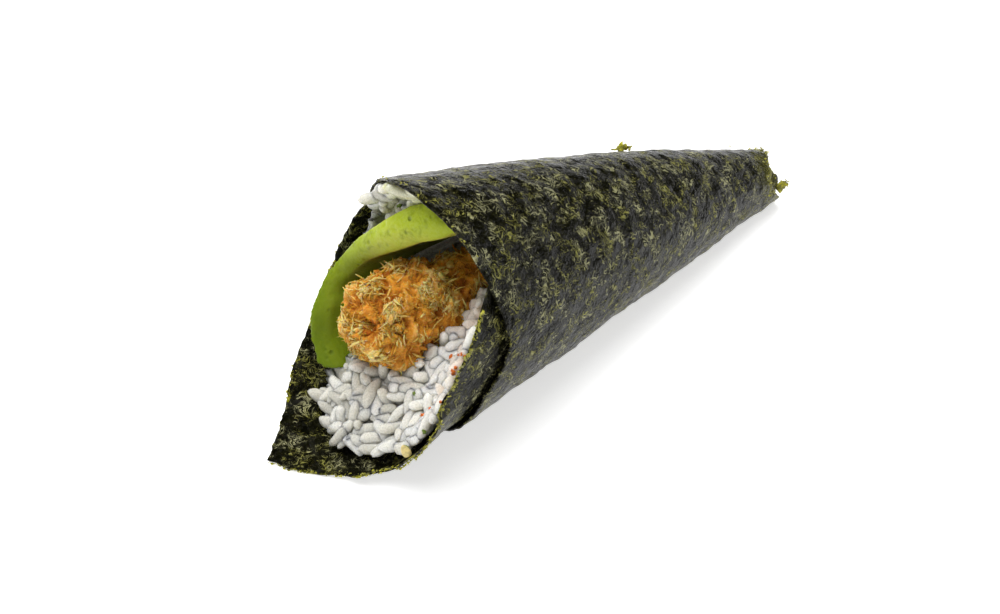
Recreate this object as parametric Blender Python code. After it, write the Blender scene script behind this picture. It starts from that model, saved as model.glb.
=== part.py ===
"""A temaki hand roll lying on its side: a sheet of nori rolled into a cone round sushi rice, a slice of
avocado and a crumbed, fried prawn.

The roll is laid out from the cone that the sheet follows. Its apex lies past the tip, on the table, and its
lowest line runs along the table. A place on the roll is given by three numbers:
  angle  degrees round the cone, 0 at the top and 90 on the +Y side; it goes on past 360 along the sheet
  reach  distance from the cone's apex along its surface, so that the mouth has the largest reach
  depth  distance in from the cone's surface
The mouth faces -X and the tip +X. At the end everything is moved so that the origin is the centre of the
roll's base.
"""

import math

import bmesh
import bpy
from mathutils import Vector, noise

MM = 0.001

# The cone
MOUTH_RADIUS = 25.0 * MM  # at the rim of the outer turn
MOUTH_REACH = 150.0 * MM
SINK = 0.7 * MM  # how far the round is squashed flat where it lies
SWELL = 1.7 * MM  # how far its back swells out halfway along
SWELL_MIDDLE = 39.0
SWELL_WIDTH = 55.0
SWELL_REACHES = (44.0 * MM, 151.0 * MM)
FACET = 0.8 * MM  # how far its lower flank is pressed in at the mouth
FACET_MIDDLE = -100.0
FACET_WIDTH = 26.0
FIT_GAP = 0.35 * MM  # between pieces that lie on each other
ROOM = 0.6 * MM  # between the rice and the avocado that lies in it

# The sheet, half of a standard sheet of nori, from its outer end to its inner end
SHEET_THICKNESS = 0.5 * MM
TURN_PITCH = 1.3 * MM  # one turn lies this much deeper than the turn outside it
OUTER_END = -199.0
WOUND_FROM = -150.0  # up to here the sheet is outermost, and lies flat on the table
INNER_END = 360.0
CORNER = 174.5  # the free corner of the sheet, lying on the table in front of the mouth
DROP_FROM = 153.0 * MM  # past this reach the corner has no turn below it, and sinks to the table
DROP_TO = 166.0 * MM
DROP_ANGLES = (80.0, 260.0)
SHEET_COLUMNS = 94
SHEET_ROWS = 9

# The rims of the sheet as (angle, reach in mm): at the mouth its long side and then its short side, and at
# the tip its other short side
LONG_SIDE = (
    (OUTER_END, 150.0), (-150.0, 150.5), (-118.0, 151.0), (-104.0, 149.5), (-92.0, 146.5),
    (-80.0, 145.5), (-60.0, 147.5), (-40.0, 149.2), (-15.0, 151.2), (15.0, 152.0), (45.0, 147.5),
    (66.0, 146.0), (92.0, 150.0), (108.0, 153.5), (126.0, 158.6), (141.0, 164.6), (160.0, 171.5),
    (CORNER, 179.2),
)
SHORT_SIDE = (
    (CORNER, 179.2), (182.0, 176.8), (200.0, 170.5), (220.0, 164.5), (242.0, 162.8), (262.0, 161.3),
    (277.0, 157.6), (287.0, 154.6), (302.0, 149.8), (325.0, 142.0), (INNER_END, 129.0),
)
TIP_SIDE = (
    (OUTER_END, 41.0), (-150.0, 40.5), (-122.0, 42.0), (-88.0, 47.0), (-60.0, 50.0), (-25.0, 46.5),
    (0.0, 44.0), (60.0, 43.0), (170.0, 42.0), (230.0, 43.0), (INNER_END, 47.0),
)

# The rice fills the sheet, and at the mouth it bulges out on to the free corner: (angle, reach in mm)
RICE_FRONT = (
    (0.0, 147.0), (20.0, 150.0), (50.0, 147.0), (80.0, 146.0), (108.0, 151.0), (128.0, 158.0), (160.0, 163.0),
    (190.0, 167.0), (212.0, 163.0), (242.0, 159.5), (262.0, 158.0), (280.0, 155.0), (298.0, 149.0),
    (312.0, 137.0), (345.0, 136.0), (360.0, 147.0),
)
RICE_TIP_REACH = 50.0 * MM
RICE_HEART_REACH = 134.0 * MM  # where the front meets the cone's axis
# How the front runs from the sheet to the heart, by angle: above 1 it bulges, below 1 it falls away
RICE_BULGE = ((0.0, 0.5), (100.0, 0.8), (160.0, 1.3), (215.0, 1.3), (250.0, 0.7), (275.0, 0.35), (360.0, 0.5))
RICE_COLUMNS = 42
RICE_ROWS = 9
RICE_FRONT_RINGS = 7
RICE_STEP = 20.0  # degrees over which the rice takes up the step at the sheet's inner end
RICE_LUMP = 1.1 * MM
RICE_LUMP_SIZE = 3.4 * MM

# The slice of avocado bends over and beside the prawn, with its peeled edge out. The two borders of that
# edge, as (angle, reach in mm, depth in mm), from the slice's upper end to its lower one
AVOCADO_OUTER = (
    (-30.0, 141.5, 4.4), (-14.0, 143.5, 4.4), (5.0, 145.5, 4.4), (31.2, 148.0, 7.8), (53.3, 149.0, 8.5),
    (81.4, 151.2, 6.7), (98.5, 154.6, 5.2), (108.1, 157.2, 5.2), (117.8, 159.4, 5.4), (129.2, 160.6, 4.7),
    (145.3, 161.5, 4.1),
)
AVOCADO_INNER = (
    (-32.0, 141.3, 7.4), (-15.2, 143.5, 6.8), (-4.9, 145.5, 10.8), (23.9, 147.0, 14.2), (58.4, 148.2, 14.3),
    (92.1, 150.0, 9.5), (106.8, 153.2, 7.4), (117.4, 155.8, 7.9), (126.5, 156.7, 7.3), (135.3, 157.2, 6.5),
    (154.7, 157.5, 6.0),
)
AVOCADO_LENGTH = 60.0 * MM
AVOCADO_END_LENGTH = 34.0 * MM  # at its two ends, which are rounded off
AVOCADO_TAPER = 0.5  # the share of its thickness that it keeps at the back
AVOCADO_CROWN = 0.9 * MM  # how far the peeled edge bulges
AVOCADO_STATIONS = 25
AVOCADO_ROWS = 7
CROWN_ROWS = 3

# The prawn in its crumb coat: the middle of its blunt front and of its narrow back end
PRAWN_FRONT = (-159.4, 3.6, 20.2)
PRAWN_BACK = (-72.0, -0.6, 12.4)
PRAWN_RADIUS = 11.9 * MM
PRAWN_BACK_RADIUS = 4.6 * MM
PRAWN_NOSE = 0.13  # the share of its length over which an end is rounded
PRAWN_SEGMENTS = 36
PRAWN_RINGS = 22
PRAWN_LUMP = 0.9 * MM
PRAWN_LUMP_SIZE = 6.5 * MM

HALF_ANGLE = math.asin(MOUTH_RADIUS / MOUTH_REACH)
AXIS = Vector((-math.cos(HALF_ANGLE), 0, math.sin(HALF_ANGLE)))  # from the apex to the mouth
OVER = Vector((math.sin(HALF_ANGLE), 0, math.cos(HALF_ANGLE)))  # across the axis, towards the top
SIDE = Vector((0, 1, 0))


def clear_scene():
    for obj in list(bpy.data.objects):
        bpy.data.objects.remove(obj, do_unlink=True)


# ---- places on the roll ---------------------------------------------------------------------------------


def along(stations, at):
    """The value at a place between stations, on straight lines from one to the next."""
    for (low, first), (high, second) in zip(stations, stations[1:]):
        if at <= high:
            return first + (second - first) * (at - low) / (high - low)
    return stations[-1][1]


def ease(low, high, at):
    """A smooth step from 0 at low to 1 at high."""
    share = min(max((at - low) / (high - low), 0.0), 1.0)
    return share * share * (3 - 2 * share)


def bell(angle, middle, width):
    """1 at the middle angle, falling to nothing past the width on either side."""
    away = (angle - middle + 180) % 360 - 180
    return math.exp(-((away / width) ** 4))


def pressed_in(angle, reach):
    """How far the roll lies in from the true cone. It swells out where this is below nothing."""
    low, high = SWELL_REACHES
    halfway = math.sin(math.pi * min(max((reach - low) / (high - low), 0.0), 1.0))
    swell = SWELL * halfway * bell(angle, SWELL_MIDDLE, SWELL_WIDTH)
    return FACET * reach / MOUTH_REACH * bell(angle, FACET_MIDDLE, FACET_WIDTH) - swell


def on_roll(angle, reach, depth):
    """The point at an angle, reach and depth. Near the table the round is pressed flat."""
    turn = math.radians(angle)
    across = OVER * math.cos(turn) + SIDE * math.sin(turn)
    surface = (AXIS * math.cos(HALF_ANGLE) + across * math.sin(HALF_ANGLE)) * reach
    outward = across * math.cos(HALF_ANGLE) - AXIS * math.sin(HALF_ANGLE)
    point = surface - outward * (depth + pressed_in(angle, reach))
    point.z = max(point.z - SINK, depth)
    return point


def smooth_path(points, count):
    """Points read at even steps from a smooth curve through the given ones."""
    ends = [points[0] * 2 - points[1], *points, points[-1] * 2 - points[-2]]
    found = []
    for i in range(count):
        place = i / (count - 1) * (len(points) - 1)
        k = min(int(place), len(points) - 2)
        t = place - k
        a, b, c, d = ends[k : k + 4]
        bend = (a * 2 - b * 5 + c * 4 - d) * t**2 + (b * 3 - c * 3 + d - a) * t**3
        found.append((b * 2 + (c - a) * t + bend) / 2)
    return found


# ---- making objects -------------------------------------------------------------------------------------


def add_material(name, colour, roughness):
    material = bpy.data.materials.new(name)
    material.use_nodes = True
    shader = material.node_tree.nodes["Principled BSDF"]
    shader.inputs["Base Color"].default_value = (*colour, 1.0)
    shader.inputs["Roughness"].default_value = roughness
    shader.inputs["Metallic"].default_value = 0.0
    return material


def add_object(name, mesh_data, material):
    mesh = bpy.data.meshes.new(name)
    bmesh.ops.recalc_face_normals(mesh_data, faces=mesh_data.faces)
    mesh_data.to_mesh(mesh)
    mesh_data.free()
    mesh.shade_smooth()
    mesh.set_sharp_from_angle(angle=math.radians(40))
    mesh.materials.append(material)
    obj = bpy.data.objects.new(name, mesh)
    bpy.context.collection.objects.link(obj)
    return obj


def skin(mesh_data, rings):
    """Faces between rings of points that each close on themselves."""
    made = [[mesh_data.verts.new(point) for point in ring] for ring in rings]
    for near, far in zip(made, made[1:]):
        for i in range(len(near)):
            j = (i + 1) % len(near)
            mesh_data.faces.new((near[i], near[j], far[j], far[i]))
    return made


def fan(mesh_data, ring, centre):
    """Triangles from a closed ring to a point."""
    hub = mesh_data.verts.new(centre)
    for i in range(len(ring)):
        mesh_data.faces.new((ring[i], ring[(i + 1) % len(ring)], hub))


def zip_shut(mesh_data, ring):
    """Faces across a long narrow ring, from its first half to its second."""
    for i in range(len(ring) // 2 - 1):
        mesh_data.faces.new((ring[i], ring[i + 1], ring[-2 - i], ring[-1 - i]))


# ---- the sheet of nori ----------------------------------------------------------------------------------


def mouth_rim(angle):
    stations = LONG_SIDE if angle <= CORNER else SHORT_SIDE
    return along(stations, angle) * MM


def wound_depth(angle):
    """How deep the sheet's outer face lies: each turn is wound inside the one before."""
    return TURN_PITCH * max(angle - WOUND_FROM, 0.0) / 360.0


def sheet_depth(angle, reach):
    """The same, with the free corner sinking to the table."""
    drop = ease(DROP_FROM, DROP_TO, reach) if DROP_ANGLES[0] < angle < DROP_ANGLES[1] else 0.0
    return wound_depth(angle) * (1 - drop)


def sheet_column(angle, into):
    """The points of one column of the sheet, from the tip to the mouth, at a depth into the sheet."""
    tip = along(TIP_SIDE, angle) * MM
    step = (mouth_rim(angle) - tip) / SHEET_ROWS
    reaches = [tip + step * row for row in range(SHEET_ROWS + 1)]
    return [on_roll(angle, reach, sheet_depth(angle, reach) + into) for reach in reaches]


def make_nori(material):
    """The sheet as a closed band: each column goes up its outer face and back down its inner face."""
    step = (INNER_END - OUTER_END) / SHEET_COLUMNS
    angles = [OUTER_END + step * i for i in range(SHEET_COLUMNS + 1)]
    rings = [sheet_column(angle, 0.0) + sheet_column(angle, SHEET_THICKNESS)[::-1] for angle in angles]
    mesh_data = bmesh.new()
    made = skin(mesh_data, rings)
    zip_shut(mesh_data, made[0])
    zip_shut(mesh_data, made[-1])
    return add_object("nori_wrap", mesh_data, material)


# ---- the fillings ---------------------------------------------------------------------------------------


def avocado_side(border, length, thinning):
    """The points of one side of the slice, running back from a border towards the tip."""
    angle, reach, depth = border
    points = []
    for row in range(AVOCADO_ROWS + 1):
        share = row / AVOCADO_ROWS
        at = reach - length * share
        points.append(on_roll(angle, at, (depth + thinning * share) * at / MOUTH_REACH))
    return points


def avocado_crown(outer, inner):
    """The points between the two borders of the peeled edge, which bulges a little."""
    points = []
    for k in range(1, CROWN_ROWS + 1):
        share = k / (CROWN_ROWS + 1)
        angle, reach, depth = outer.lerp(inner, share)
        reach += AVOCADO_CROWN * math.sin(math.pi * share)
        points.append(on_roll(angle, reach, depth * reach / MOUTH_REACH))
    return points


def make_avocado(material, name="avocado_slice", grow=0.0):
    to_metres = Vector((1.0, MM, MM))
    outer = smooth_path([Vector(border) * to_metres for border in AVOCADO_OUTER], AVOCADO_STATIONS)
    inner = smooth_path([Vector(border) * to_metres for border in AVOCADO_INNER], AVOCADO_STATIONS)
    rings = []
    for i in range(AVOCADO_STATIONS):
        middle = math.sin(math.pi * i / (AVOCADO_STATIONS - 1)) ** 0.5
        length = AVOCADO_END_LENGTH + (AVOCADO_LENGTH - AVOCADO_END_LENGTH) * middle
        thinning = (inner[i].z - outer[i].z) * (1 - AVOCADO_TAPER) / 2
        outside = avocado_side(outer[i], length, thinning)
        inside = avocado_side(inner[i], length, -thinning)
        rings.append(outside[::-1] + avocado_crown(outer[i], inner[i]) + inside)
    mesh_data = bmesh.new()
    made = skin(mesh_data, rings)
    for ring in (made[0], made[-1]):
        mesh_data.faces.new(ring)
    return grown(add_object(name, mesh_data, material), grow)


def make_prawn(material, name="fried_prawn", grow=0.0):
    """A long lumpy body, blunt at the mouth and narrower towards the tip."""
    front, back = Vector(PRAWN_FRONT) * MM, Vector(PRAWN_BACK) * MM
    way = (back - front).normalized()
    flat = (SIDE - way * way.dot(SIDE)).normalized()
    rise = way.cross(flat)
    rings = []
    for i in range(1, PRAWN_RINGS):
        share = (1 - math.cos(math.pi * i / PRAWN_RINGS)) / 2
        radius = PRAWN_RADIUS + (PRAWN_BACK_RADIUS - PRAWN_RADIUS) * share
        from_end = min(share / PRAWN_NOSE, (1 - share) / PRAWN_NOSE, 1.0)
        radius *= math.sqrt(from_end * (2 - from_end))
        middle = front.lerp(back, share)
        ring = []
        for j in range(PRAWN_SEGMENTS):
            turn = 2 * math.pi * j / PRAWN_SEGMENTS
            out = flat * math.cos(turn) + rise * math.sin(turn)
            bump = noise.noise((middle + out * radius) / PRAWN_LUMP_SIZE) * PRAWN_LUMP
            ring.append(middle + out * (radius + bump))
        rings.append(ring)
    mesh_data = bmesh.new()
    made = skin(mesh_data, rings)
    fan(mesh_data, made[0], front)
    fan(mesh_data, made[-1], back)
    return grown(add_object(name, mesh_data, material), grow)


def grown(obj, by):
    """The object with its surface moved out along its normals."""
    for vertex, normal in zip(obj.data.vertices, [vertex.normal.copy() for vertex in obj.data.vertices]):
        vertex.co += normal * by
    return obj


def rice_depth(angle):
    """The rice lies against the innermost turn, and takes up the step at the sheet's inner end."""
    against = wound_depth(angle) + SHEET_THICKNESS + FIT_GAP
    return against + TURN_PITCH * (1 - ease(0.0, RICE_STEP, angle))


def make_rice_body(material):
    """The bed of rice, with lumps where it shows at the mouth."""
    angles = [360.0 * i / RICE_COLUMNS for i in range(RICE_COLUMNS)]
    rings = []
    for row in range(RICE_ROWS + 1):
        share = row / RICE_ROWS
        ring = []
        for angle in angles:
            reach = RICE_TIP_REACH + (along(RICE_FRONT, angle) * MM - RICE_TIP_REACH) * share
            ring.append(on_roll(angle, reach, rice_depth(angle)))
        rings.append(ring)
    for k in range(1, RICE_FRONT_RINGS):
        share = k / RICE_FRONT_RINGS
        ring = []
        for angle in angles:
            reach = along(RICE_FRONT, angle) * MM
            reach += (RICE_HEART_REACH - reach) * share ** along(RICE_BULGE, angle)
            deepest = reach * math.tan(HALF_ANGLE)
            point = on_roll(angle, reach, rice_depth(angle) + (deepest - rice_depth(angle)) * share)
            ring.append(point + AXIS * noise.noise(point / RICE_LUMP_SIZE) * RICE_LUMP)
        rings.append(ring)
    mesh_data = bmesh.new()
    made = skin(mesh_data, rings)
    fan(mesh_data, made[-1], AXIS * RICE_HEART_REACH * math.cos(HALF_ANGLE))
    fan(mesh_data, made[0], sum(rings[0], Vector()) / RICE_COLUMNS)
    return add_object("sushi_rice", mesh_data, material)


def cut_away(obj, cutter):
    """A Boolean that stays on the object, and leaves room for what lies in it."""
    cutter.hide_render = True
    cutter.display_type = "WIRE"
    boolean = obj.modifiers.new("room_for_" + cutter.name, "BOOLEAN")
    boolean.operation = "DIFFERENCE"
    boolean.object = cutter


def make_rice(material):
    rice = make_rice_body(material)
    cut_away(rice, make_prawn(material, "prawn_room", FIT_GAP))
    cut_away(rice, make_avocado(material, "avocado_room", ROOM))
    return rice


def centre_on_base(objects):
    """Moves everything so that the whole roll's base is centred on the origin."""
    corners = [vertex.co for obj in objects if not obj.hide_render for vertex in obj.data.vertices]
    low = Vector([min(corner[i] for corner in corners) for i in range(3)])
    high = Vector([max(corner[i] for corner in corners) for i in range(3)])
    shift = Vector((-(low.x + high.x) / 2, -(low.y + high.y) / 2, -low.z))
    for obj in objects:
        for vertex in obj.data.vertices:
            vertex.co += shift


def main():
    clear_scene()
    make_nori(add_material("nori", (0.035, 0.045, 0.022), 0.45))
    make_avocado(add_material("avocado", (0.42, 0.60, 0.12), 0.45))
    make_prawn(add_material("crumb", (0.72, 0.36, 0.08), 0.6))
    make_rice(add_material("rice", (0.80, 0.80, 0.74), 0.35))
    centre_on_base(list(bpy.data.objects))


main()
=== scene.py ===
"""A temaki hand roll: nori rolled round sushi rice, a slice of avocado and a crumbed, fried prawn.

The roll follows a cone. Its apex lies past the tip, on the table, and its lowest line runs along the table.
A place on the roll is given by three numbers:
  angle  degrees round the cone, 0 at the top and 90 on the +Y side; it goes on past 360 along the sheet
  reach  distance from the cone's apex along its surface, so that the mouth has the largest reach
  depth  distance in from the cone's surface
"""

import math
from functools import partial

import bpy
import numpy as np
from bpy.props import FloatProperty, FloatVectorProperty, IntProperty, PointerProperty
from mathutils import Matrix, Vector, noise
from mathutils.bvhtree import BVHTree


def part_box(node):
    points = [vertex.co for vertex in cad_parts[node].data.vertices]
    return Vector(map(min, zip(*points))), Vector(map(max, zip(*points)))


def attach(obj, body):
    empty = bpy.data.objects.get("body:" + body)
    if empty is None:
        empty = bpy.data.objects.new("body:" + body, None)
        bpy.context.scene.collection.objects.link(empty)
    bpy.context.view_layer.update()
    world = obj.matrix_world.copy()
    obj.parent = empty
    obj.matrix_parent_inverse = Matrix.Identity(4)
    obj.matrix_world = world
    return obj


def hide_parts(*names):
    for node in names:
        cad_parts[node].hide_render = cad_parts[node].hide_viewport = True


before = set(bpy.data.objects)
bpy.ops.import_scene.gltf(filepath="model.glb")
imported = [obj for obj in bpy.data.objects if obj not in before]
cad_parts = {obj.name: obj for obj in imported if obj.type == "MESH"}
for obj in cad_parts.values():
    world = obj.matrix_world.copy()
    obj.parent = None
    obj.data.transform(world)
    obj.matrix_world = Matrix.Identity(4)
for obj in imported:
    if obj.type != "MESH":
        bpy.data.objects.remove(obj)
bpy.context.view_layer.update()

bl_info = {
    "name": "Temaki hand roll",
    "version": (1, 0, 0),
    "blender": (4, 5, 0),
    "location": "3D View > Sidebar > Temaki",
    "description": "Makes a temaki hand roll with rice, avocado and a crumbed prawn, and its stage",
    "category": "Add Mesh",
}

MM = 0.001

# The cone
MOUTH_RADIUS = 25.0 * MM
MOUTH_REACH = 150.0 * MM
SINK = 0.7 * MM  # how far the round is pressed flat where it lies
PAST_TIP = 40.38 * MM  # from the tip's end to the cone's apex
APEX_SIDE = 0.52 * MM  # the apex lies this much to the +Y side of the roll's middle

# The sheet of nori, from its outer end to its inner end
TURN_PITCH = 1.3 * MM
OUTER_END = -199.0
WOUND_FROM = -150.0
INNER_END = 360.0
CORNER = 174.5  # the free corner, lying on the table in front of the mouth
DROP_FROM = 153 * MM
DROP_TO = 166 * MM
LONG_SIDE = (
    (OUTER_END, 150.0), (-150.0, 150.5), (-118.0, 151.0), (-104.0, 149.5), (-92.0, 146.5),
    (-80.0, 145.5), (-60.0, 147.5), (-40.0, 149.2), (-15.0, 151.2), (15.0, 152.0), (45.0, 147.5),
    (66.0, 146.0), (92.0, 150.0), (108.0, 153.5), (126.0, 158.6), (141.0, 164.6), (160.0, 171.5),
    (CORNER, 179.2),
)
SHORT_SIDE = (
    (CORNER, 179.2), (182.0, 176.8), (200.0, 170.5), (220.0, 164.5), (242.0, 162.8), (262.0, 161.3),
    (277.0, 157.6), (287.0, 154.6), (302.0, 149.8), (325.0, 142.0), (INNER_END, 129.0),
)
TIP_SIDE = (
    (OUTER_END, 41.0), (-150.0, 40.5), (-122.0, 42.0), (-88.0, 47.0), (-60.0, 50.0), (-25.0, 46.5),
    (0.0, 44.0), (60.0, 43.0), (170.0, 42.0), (230.0, 43.0), (INNER_END, 47.0),
)

# How the roll departs from the true cone
SWELL = 1.7 * MM  # its back swells out halfway along
SWELL_MIDDLE = 39.0
SWELL_WIDTH = 55.0
SWELL_REACHES = (44 * MM, 151 * MM)
FACET = 0.8 * MM  # its lower flank is pressed in at the mouth
FACET_MIDDLE = -100.0
FACET_WIDTH = 26.0

# The front of the rice
RICE_FRONT = (
    (0.0, 147.0), (20.0, 150.0), (50.0, 147.0), (80.0, 146.0), (108.0, 151.0), (128.0, 158.0),
    (160.0, 163.0), (190.0, 167.0), (212.0, 163.0), (242.0, 159.5), (262.0, 158.0), (280.0, 155.0),
    (298.0, 149.0), (312.0, 137.0), (345.0, 136.0), (360.0, 147.0),
)
RICE_BULGE = (
    (0.0, 0.5), (100.0, 0.8), (160.0, 1.3), (215.0, 1.3), (250.0, 0.7), (275.0, 0.35), (360.0, 0.5),
)
RICE_HEART_REACH = 134 * MM
RICE_INSET = 0.85 * MM  # from the nori's outer face to the rice
GRAIN_TRIES = 9000  # places tried for each layer of grains
GRAIN_LAYERS = ((1.95 * MM, 0.2 * MM), (2.1 * MM, 2.0 * MM), (2.4 * MM, 4.0 * MM))  # spacing and depth
GRAIN_SLACK = 0.3 * MM  # how far a grain may press into the nori
WALL_CLEARANCE = 1.3 * MM  # from the nori's outer face to the grains
CORE_INSET = 0.8 * MM  # the core lies this much inside the rice, and further at the front
CORE_FRONT_INSET = 1.7 * MM
CORE_HOLLOW = 14 * MM
NEAR_FILLING = 2.5 * MM

# The camera, in degrees and metres
CAMERA_AZIMUTH = -39.45
CAMERA_ELEVATION = 42.39
CAMERA_DISTANCE = 0.22861
CAMERA_AIM = np.array((-0.124054, 0.0, 0.010733))  # from the cone's apex

HALF_ANGLE = math.asin(MOUTH_RADIUS / MOUTH_REACH)
SINE, COSINE = math.sin(HALF_ANGLE), math.cos(HALF_ANGLE)
AXIS = np.array((-COSINE, 0.0, SINE))
OVER = np.array((SINE, 0.0, COSINE))
SIDE = np.array((0.0, 1.0, 0.0))
FALL = np.array((0.47, 0.57, -0.674))  # the way that the sprinkles fell
MOUTH_MIDDLE = np.array((-152.0, 0.0, 14.0))  # in mm from the cone's apex
nori_low, nori_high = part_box("nori_wrap")
APEX = np.array((nori_high.x + PAST_TIP, (nori_low.y + nori_high.y) / 2 + APEX_SIDE, nori_low.z))


# ---- the settings that a user would change ----


def colour(name, description, default):
    return FloatVectorProperty(
        name=name, description=description, subtype="COLOR", size=4, min=0, max=1, default=(*default, 1)
    )


def length(name, description, default):
    return FloatProperty(name=name, description=description, default=default, min=0, unit="LENGTH")


class TemakiSettings(bpy.types.PropertyGroup):
    nori_thickness: length("Nori thickness", "Thickness of the sheet of nori", 0.3 * MM)
    nori_relief: length("Nori relief", "Height of the sheet's blisters and creases", 0.42 * MM)
    nori_dark: colour("Nori", "The sheet between its strands", (0.003, 0.003, 0.001))
    nori_strand: colour("Nori strands", "The pale strands of the sheet", (0.390, 0.380, 0.200))
    nori_film: colour("Nori film", "Smooth greyish patches of the sheet", (0.012, 0.012, 0.010))
    # Painted light: the yellow-green of light shining through the thin torn edges.
    nori_edge_glow: colour("Nori edge", "The thin torn edges of the sheet", (0.240, 0.230, 0.020))
    grain_length: length("Grain length", "Length of a cooked grain of rice", 5.8 * MM)
    grain_width: length("Grain width", "Width of a cooked grain of rice", 2.4 * MM)
    rice: colour("Rice", "The grains of rice", (0.97, 0.94, 0.84))
    avocado_edge: colour("Avocado edge", "The peeled edge of the slice", (0.40, 0.49, 0.024))
    avocado_flesh: colour("Avocado flesh", "The flesh towards the stone", (0.50, 0.46, 0.08))
    crumb_count: IntProperty(name="Crumbs", description="How many crumbs the prawn has", default=2400, min=1)
    shred_count: IntProperty(name="Shreds", description="How many shreds it has too", default=3400, min=1)
    # The crumbs run from the deep colour in the hollows to the pale one at their tips: partly their own
    # colour, partly painted shade and painted light.
    crumb_deep: colour("Crumb, deep", "The coat between the crumbs", (0.38, 0.115, 0.012))
    crumb_pale: colour("Crumb, pale", "The tips of the crumbs", (1.0, 0.72, 0.26))
    chilli: colour("Chilli", "The chilli flakes", (0.86, 0.20, 0.02))
    sesame: colour("Sesame", "The sesame seeds", (0.85, 0.69, 0.27))
    floor: colour("Floor", "The floor of the stage", (0.86, 0.86, 0.86))
    key_light: FloatProperty(name="Key light", description="Power of the key", default=6.0, unit="POWER")


# ---- places on the roll ----


def along(stations, at):
    """The values at places between stations."""
    places, values = zip(*stations)
    return np.interp(at, places, values)


def ease(low, high, at):
    """A smooth step from 0 at low to 1 at high."""
    share = np.clip((at - low) / (high - low), 0, 1)
    return share * share * (3 - 2 * share)


def column(values):
    return np.asarray(values, float)[..., None]


def bell(angle, middle, width):
    """1 at the middle angle, falling to nothing past the width on either side."""
    away = (angle - middle + 180) % 360 - 180
    return np.exp(-((away / width) ** 4))


def pressed_in(angle, reach):
    """How far the roll lies in from the true cone. It swells out where this is below nothing."""
    low, high = SWELL_REACHES
    halfway = np.sin(math.pi * np.clip((reach - low) / (high - low), 0, 1))
    swell = SWELL * halfway * bell(angle, SWELL_MIDDLE, SWELL_WIDTH)
    return FACET * reach / MOUTH_REACH * bell(angle, FACET_MIDDLE, FACET_WIDTH) - swell


def across_axis(angle):
    turn = np.radians(angle)
    return OVER * column(np.cos(turn)) + SIDE * column(np.sin(turn))


def on_roll(angle, reach, depth):
    """The points at angles, reaches and depths. Near the table the round is pressed flat."""
    across = across_axis(angle)
    surface = (AXIS * COSINE + across * SINE) * column(reach)
    outward = across * COSINE - AXIS * SINE
    points = surface - outward * column(depth + pressed_in(angle, reach))
    points[..., 2] = np.maximum(np.maximum(points[..., 2] - SINK, depth), 0.0)
    return points + APEX


def off_roll(points):
    """The angle, reach and depth of points."""
    local = points - APEX
    up, across, side = local @ AXIS, local @ OVER, local @ SIDE
    radius = np.hypot(across, side)
    angle = np.degrees(np.arctan2(side, across)) % 360
    reach = up * COSINE + radius * SINE
    depth = up * SINE - radius * COSINE
    return angle, reach, depth - pressed_in(angle, reach)


def from_axis(points):
    return points - (APEX + AXIS * column((points - APEX) @ AXIS))


def rough(points, size, seed=0.0):
    """Smooth noise from -1 to 1 at points, with lumps of a size."""
    offset = Vector((seed, seed * 1.7, -seed))
    return np.array([noise.noise(Vector(point) / size + offset) for point in points])


# ---- making and finishing meshes ----


def deselect():
    if bpy.context.object and bpy.context.object.mode != "OBJECT":
        bpy.ops.object.mode_set(mode="OBJECT")
    bpy.ops.object.select_all(action="DESELECT")


def pick(obj):
    deselect()
    obj.select_set(True)
    bpy.context.view_layer.objects.active = obj


def named(name):
    """The object that an operator has just added, with its place in its mesh."""
    obj = bpy.context.object
    obj.name = obj.data.name = name
    bpy.ops.object.transform_apply(location=True, rotation=True, scale=True)
    return obj


def corners(mesh):
    found = np.empty(len(mesh.vertices) * 3)
    mesh.vertices.foreach_get("co", found)
    return found.reshape(-1, 3)


def normals(mesh):
    found = np.empty(len(mesh.vertices) * 3)
    mesh.vertices.foreach_get("normal", found)
    return found.reshape(-1, 3)


def move_corners(mesh, points):
    mesh.vertices.foreach_set("co", np.ascontiguousarray(points, float).ravel())
    mesh.update()


def on_table(points):
    points[:, 2] = np.maximum(points[:, 2], 0)
    return points


def paint(mesh, name, values):
    """An attribute of the mesh: one number, or one vector, for each vertex."""
    values = np.asarray(values, float)
    vector = values.ndim == 2
    attribute = mesh.attributes.new(name, "FLOAT_VECTOR" if vector else "FLOAT", "POINT")
    attribute.data.foreach_set("vector" if vector else "value", values.ravel())


def modify(obj, kind, **settings):
    """Adds a modifier and applies it."""
    pick(obj)
    bpy.ops.object.modifier_add(type=kind)
    modifier = obj.modifiers[-1]
    for name, value in settings.items():
        setattr(modifier, name, value)
    bpy.ops.object.modifier_apply(modifier=modifier.name)


def copied_node(node, name, voxel):
    """A copy of a node's mesh, closed up and meshed again evenly."""
    obj = bpy.data.objects.new(name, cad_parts[node].data.copy())
    obj.data.name = name
    obj.data.materials.clear()
    bpy.context.scene.collection.objects.link(obj)
    pick(obj)
    bpy.ops.mesh.customdata_custom_splitnormals_clear()
    bpy.ops.object.mode_set(mode="EDIT")
    bpy.ops.mesh.select_all(action="SELECT")
    bpy.ops.mesh.remove_doubles(threshold=1e-6)
    bpy.ops.object.mode_set(mode="OBJECT")
    modify(obj, "REMESH", mode="VOXEL", voxel_size=voxel, use_smooth_shade=True)
    return obj


def tree_of(obj):
    mesh = obj.data
    return BVHTree.FromPolygons([v.co for v in mesh.vertices], [p.vertices for p in mesh.polygons])


def kinds_of(name, count, seed, add, shape):
    """A few kinds of one small thing, each a new primitive whose points are moved in its own random way."""
    rng = np.random.default_rng(seed)
    kinds = []
    for k in range(count):
        deselect()
        add()
        obj = named(f"{name}_{k}")
        move_corners(obj.data, shape(corners(obj.data), rng, k))
        kinds.append(obj)
    return kinds


def sides_of(mesh):
    """The corners of each face, in one fixed order: a new ball lists its faces differently each time."""
    sides = []
    for face in mesh.polygons:
        ring = tuple(face.vertices)
        first = ring.index(min(ring))
        sides.append(ring[first:] + ring[:first])
    return sorted(sides)


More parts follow.
